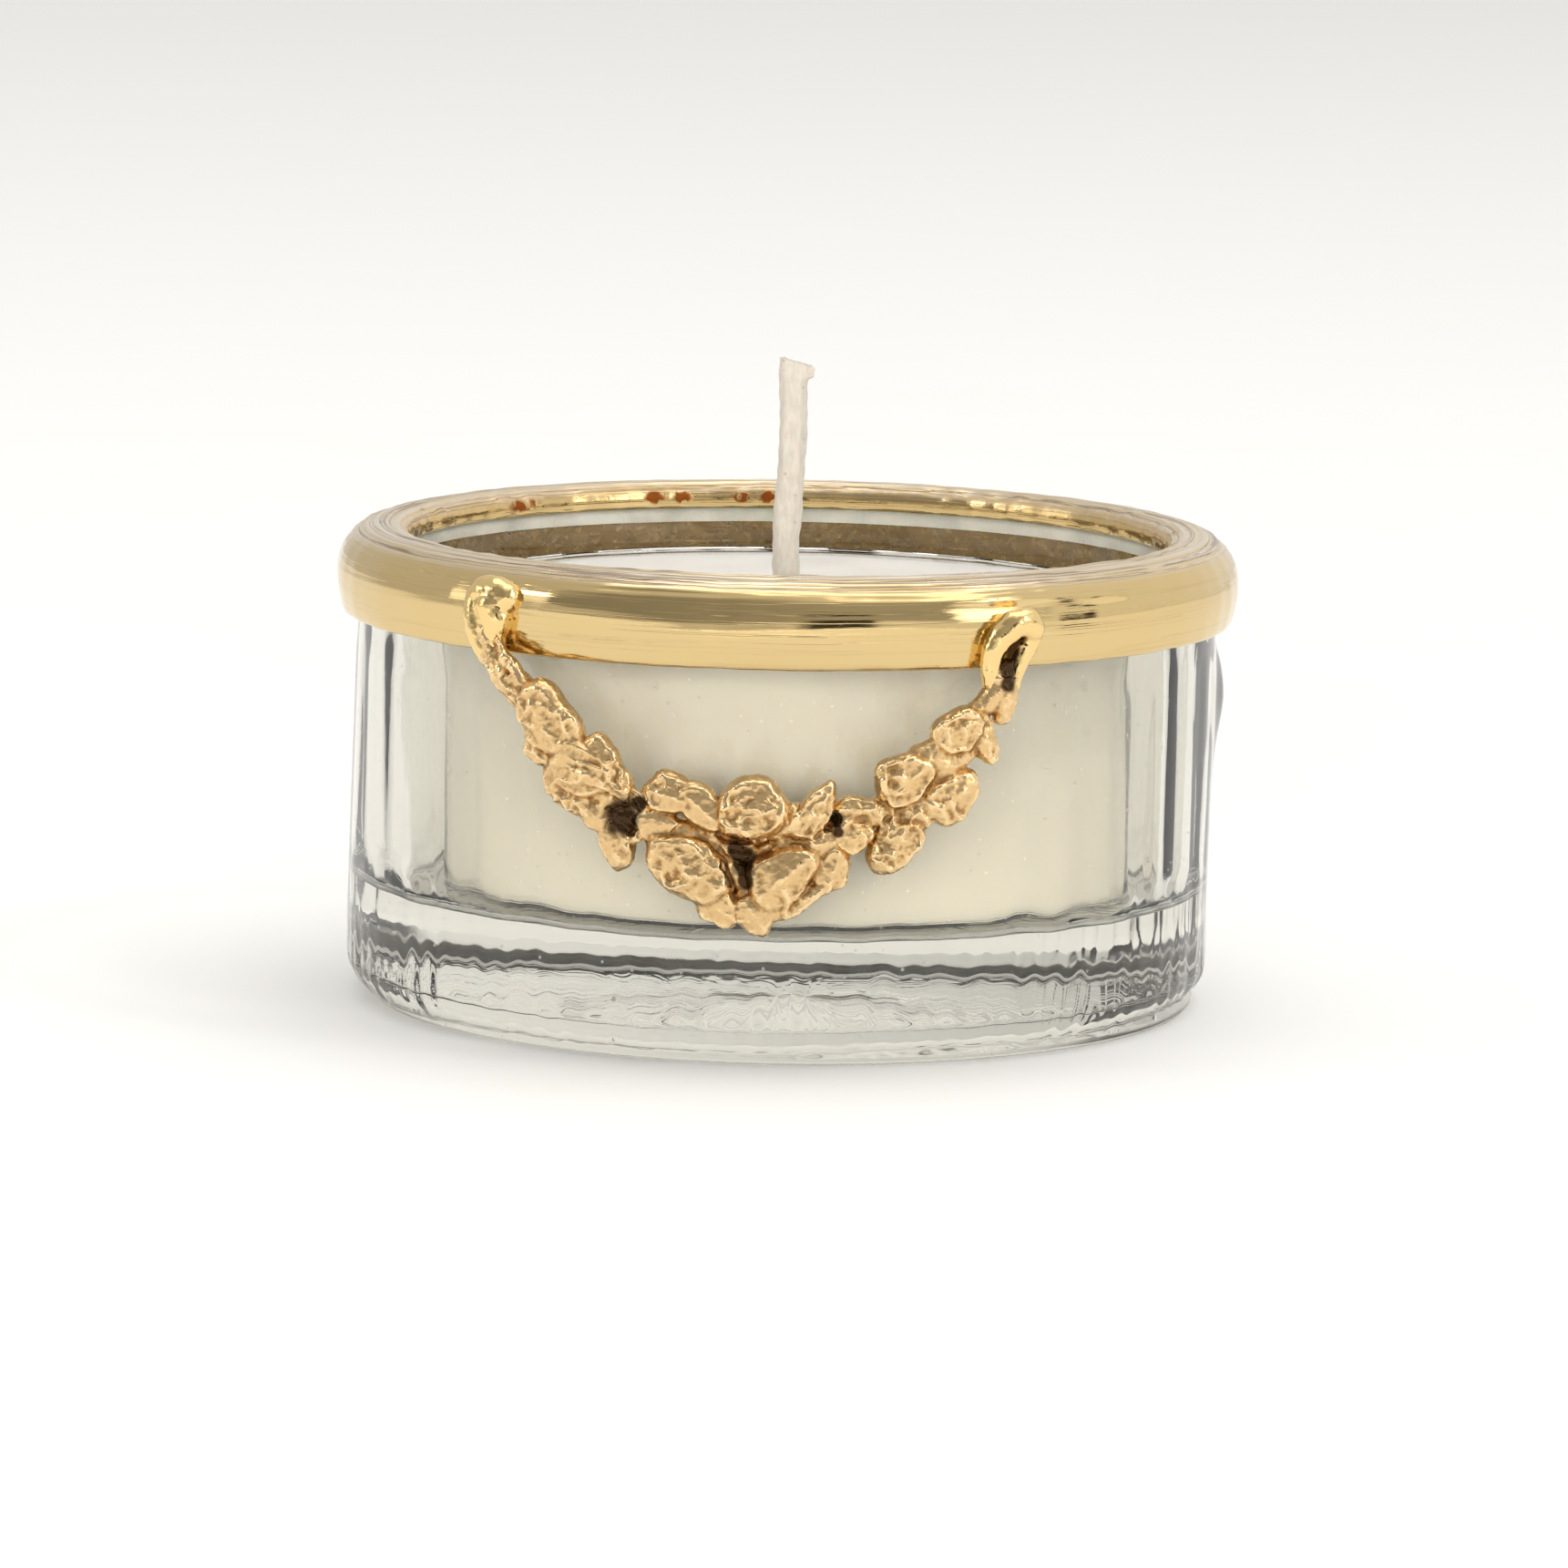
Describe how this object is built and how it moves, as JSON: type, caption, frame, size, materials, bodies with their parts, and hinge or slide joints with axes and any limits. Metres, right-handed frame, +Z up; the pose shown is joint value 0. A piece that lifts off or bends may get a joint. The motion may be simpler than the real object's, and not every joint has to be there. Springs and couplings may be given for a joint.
{
  "type": "tealight holder",
  "caption": "Heavy clear glass cup with a cast brass collar on its rim, a leafy brass garland hung from the collar, and a tealight candle standing in its well.",
  "frame": {"origin": "centre of the foot ring, on the surface the cup stands on", "axes": "+Z up along the cup's axis; the middle of the garland faces -Y"},
  "size_m": [0.05, 0.0514, 0.0355],
  "materials": {
    "clear_glass": "pressed soda-lime glass, fire polished, faint grey-green tint",
    "gilt_brass": "gilt brass, turned and filed, glossy with fine scratches",
    "cast_brass": "gilt lost-wax casting, satin, with dark oxide in the recesses",
    "clear_plastic": "thin clear polycarbonate",
    "wax": "smooth cream paraffin wax",
    "wick_cotton": "braided cotton primed with wax",
    "tinplate": "stamped tinplate"
  },
  "bodies": {
    "glass": {"glass_cup": "clear_glass"},
    "collar": {"brass_collar": "gilt_brass", "left_lug": "gilt_brass", "right_lug": "gilt_brass", "left_spray": "cast_brass", "centre_spray": "cast_brass", "right_spray": "cast_brass"},
    "candle": {"tealight_cup": "clear_plastic", "wax_fill": "wax", "wick": "wick_cotton", "wick_sustainer": "tinplate"}
  },
  "joints": [
    {"name": "collar_lift", "type": "slide", "parent": "glass", "child": "collar", "axis": [0, 0, 1], "range_m": [0, 0.03]},
    {"name": "candle_lift", "type": "slide", "parent": "glass", "child": "candle", "axis": [0, 0, 1], "range_m": [0, 0.03]}
  ]
}
